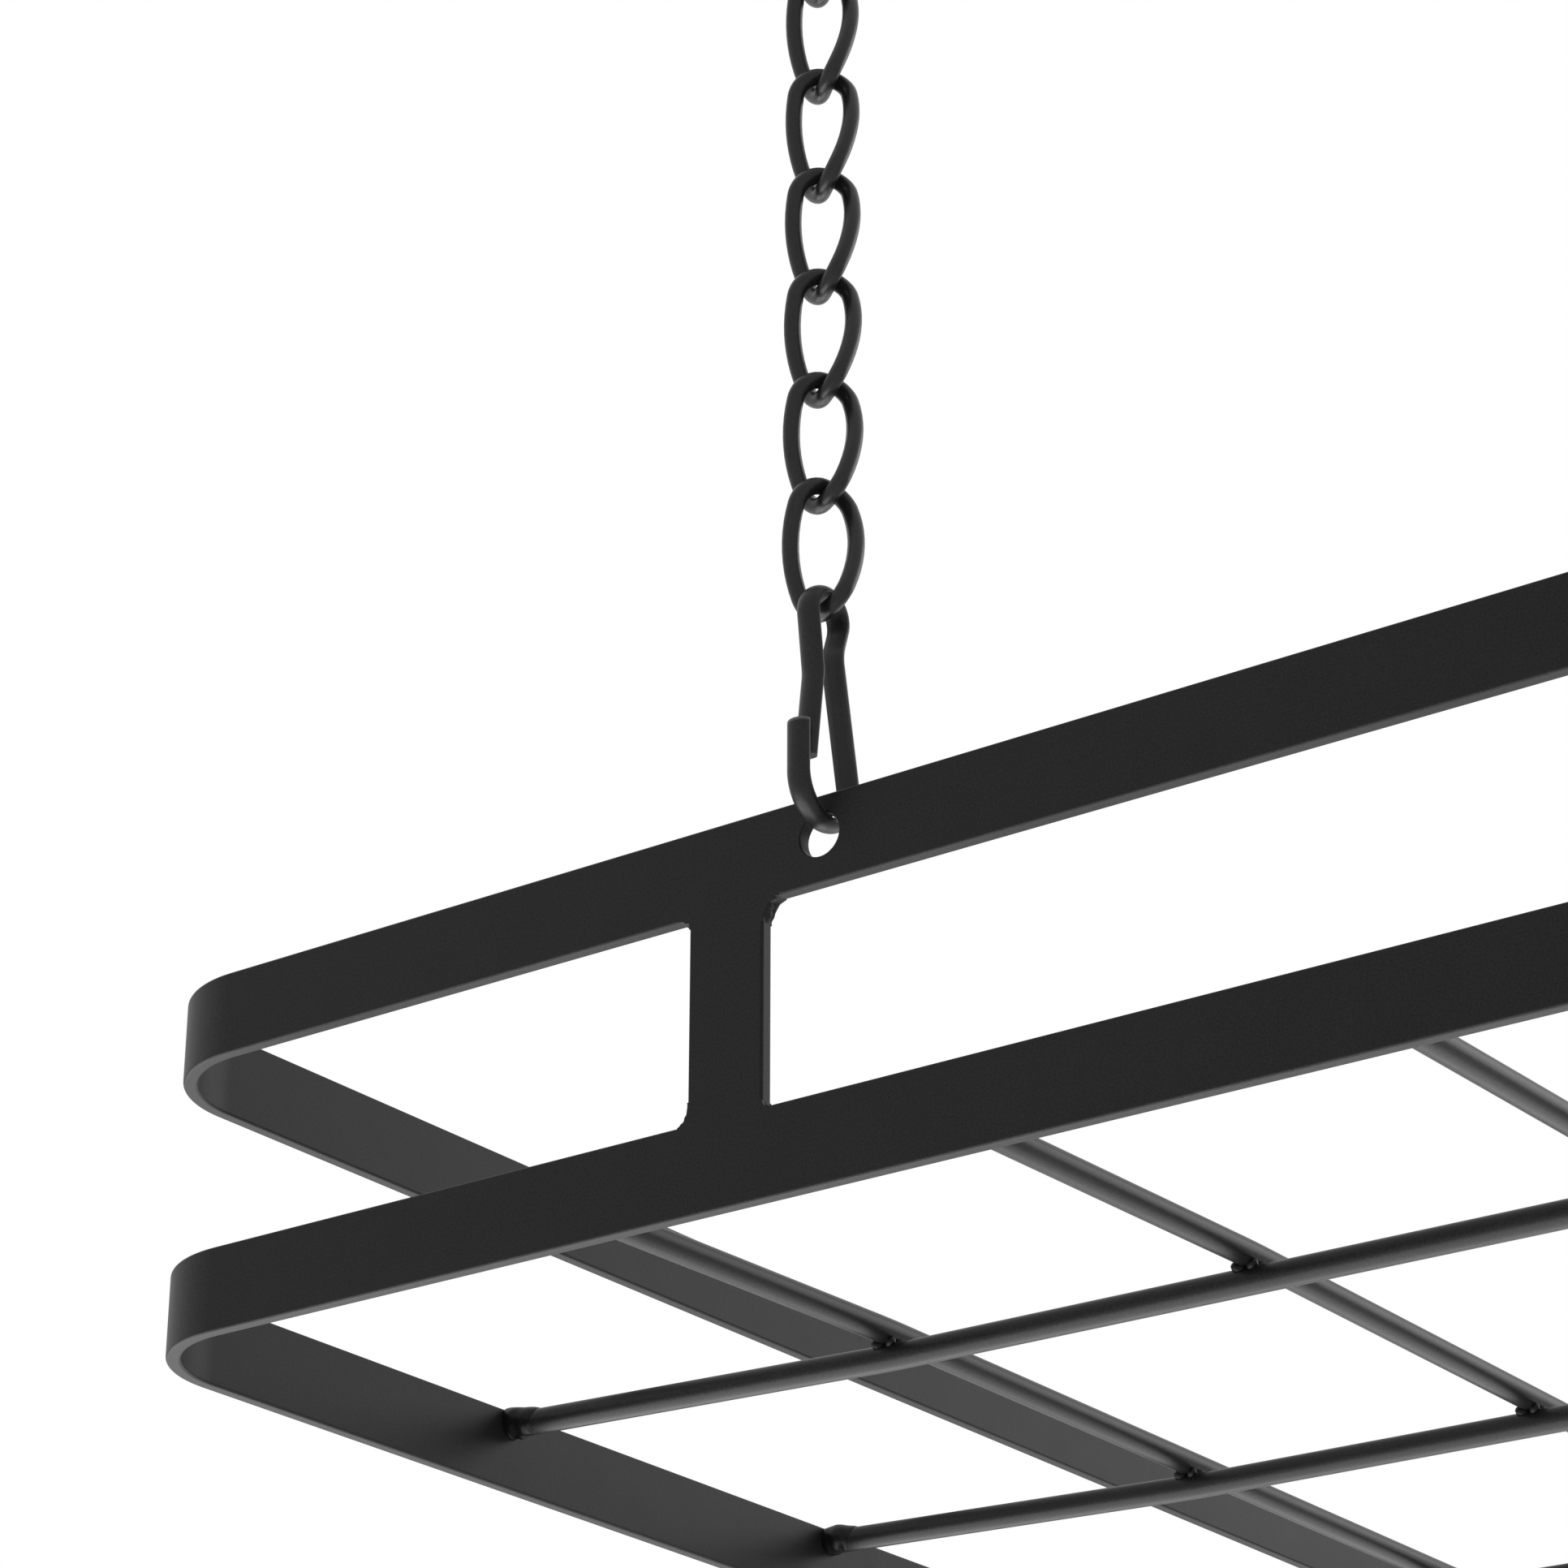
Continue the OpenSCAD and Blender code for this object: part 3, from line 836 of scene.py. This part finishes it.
def collar():
    """The round stop under the ceiling, with soft edges."""
    r, soft = COLLAR_D / 2, 0.4 * MM
    inside, foot = SCREW_D / 2 * 0.9, SCREW_D / 2 + 1.2 * MM
    rim = r - soft
    upper_edge, lower_edge = np.linspace(0.3, math.pi / 2, 5), np.linspace(0, math.pi / 2, 6)
    profile = [(inside, 0), (rim, 0)]
    profile += [(rim + soft * math.sin(a), -soft + soft * math.cos(a)) for a in upper_edge]
    profile += [(rim + soft * math.cos(a), -COLLAR_T + soft - soft * math.sin(a)) for a in lower_edge]
    profile += [(foot, -COLLAR_T), (inside, -COLLAR_T)]
    rings = [[(q * math.cos(a), q * math.sin(a), z) for a in round_angles(COLLAR_SIDES)] for q, z in profile]
    return skin(rings, closed=True)


def make_ceiling_hooks():
    shell = join([hook_wire(), collar()])
    for spot in SPOTS:
        piece(f"ceiling_hook_{spot}_screw", moved(shell, corner_matrix(spot, 0, FIRST_TURN)), SCREW_COAT,
              "ceiling_hooks", [f"ceiling_hook_{spot}"])


# ---------------------------------------------------------------- camera, light and floor
# The photograph's camera, fitted to the rack's edges in it
CAMERA_PLACE = Vector((265.0, -1016.0, -739.85)) * MM
CAMERA_YAW = math.radians(36.055)
CAMERA_PITCH = math.radians(24.871)
CAMERA_ROLL = 0.0024  # in radians
CAMERA_SENSOR, CAMERA_LENS = 36, 99.774  # in millimetres

# The lamps, all aimed at the middle of the rack: place, size in metres and watts
AIM = (0, 0, -0.4)
LAMPS = {
    "under": ((-1.0, -0.1, -2.0), 3.4, 116),
    "back": ((1.3, 2.2, 0.5), 2.2, 25),
    "low_back": ((-0.3, 2.4, -1.6), 2.2, 20),
}

STUDIO_LEVEL = 0.6  # the light of the studio on matt surfaces, where 1 is its white
FLOOR_Z = -2.4
FLOOR_HALF = 60
FLOOR_GREY = 0.9
FLOOR_GLOW = 0.45


def make_camera():
    yaw, pitch, roll = CAMERA_YAW, CAMERA_PITCH, CAMERA_ROLL
    ahead = Vector((-math.sin(yaw) * math.cos(pitch), math.cos(yaw) * math.cos(pitch), math.sin(pitch)))
    right = Vector((math.cos(yaw), math.sin(yaw), 0))
    down = ahead.cross(right)
    side = right * math.cos(roll) - down * math.sin(roll)
    up = -(right * math.sin(roll) + down * math.cos(roll))
    data = bpy.data.cameras.new("camera")
    data.sensor_width = CAMERA_SENSOR
    data.lens = CAMERA_LENS
    data.clip_start, data.clip_end = 0.05, 100
    camera = placed("camera", data)
    turned = Matrix((side, up, -ahead)).transposed().to_4x4()
    camera.matrix_world = Matrix.Translation(CAMERA_PLACE) @ turned
    bpy.context.scene.camera = camera


def make_world():
    """A white studio, whose light on matt surfaces is a little dimmer than its white."""
    world = bpy.data.worlds.new("studio")
    world.use_nodes = True
    nodes, links = world.node_tree.nodes, world.node_tree.links
    back = nodes["Background"]
    back.inputs["Color"].default_value = (1, 1, 1, 1)
    path = nodes.new("ShaderNodeLightPath")
    shown = path.outputs["Is Camera Ray"]
    for ray in ("Is Glossy Ray", "Is Transmission Ray"):
        either = nodes.new("ShaderNodeMath")
        either.operation = "MAXIMUM"
        links.new(shown, either.inputs[0])
        links.new(path.outputs[ray], either.inputs[1])
        shown = either.outputs[0]
    level = nodes.new("ShaderNodeMix")
    level.inputs["A"].default_value = STUDIO_LEVEL
    level.inputs["B"].default_value = 1.0
    links.new(shown, level.inputs["Factor"])
    links.new(level.outputs["Result"], back.inputs["Strength"])
    bpy.context.scene.world = world


def make_lamps():
    for name, (place, size, watts) in LAMPS.items():
        data = bpy.data.lights.new(name, "AREA")
        data.shape = "DISK"
        data.size = size
        data.energy = watts
        lamp = placed(name, data)
        lamp.location = place
        lamp.rotation_euler = (Vector(AIM) - Vector(place)).to_track_quat("-Z", "Y").to_euler()
        lamp.visible_camera = False


def make_floor():
    """A pale floor, which gives off white light of its own, so that it is nearly as white as the studio."""
    mesh = bpy.data.meshes.new("floor")
    signs = [(-1, -1), (1, -1), (1, 1), (-1, 1)]
    mesh.from_pydata([(sx * FLOOR_HALF, sy * FLOOR_HALF, FLOOR_Z) for sx, sy in signs], [], [(0, 1, 2, 3)])
    floor = placed("floor", mesh)
    material = bpy.data.materials.new("floor")
    material.use_nodes = True
    shader = material.node_tree.nodes["Principled BSDF"]
    shader.inputs["Base Color"].default_value = (FLOOR_GREY, FLOOR_GREY, FLOOR_GREY, 1)
    shader.inputs["Roughness"].default_value = 0.9
    shader.inputs["Emission Color"].default_value = (1, 1, 1, 1)
    shader.inputs["Emission Strength"].default_value = FLOOR_GLOW
    mesh.materials.append(material)


make_rails()
make_posts()
make_rods()
make_welds()
make_chains()
make_snap_hooks()
make_ceiling_hooks()
make_camera()
make_world()
make_lamps()
make_floor()
bpy.context.scene.view_settings.view_transform = "Standard"
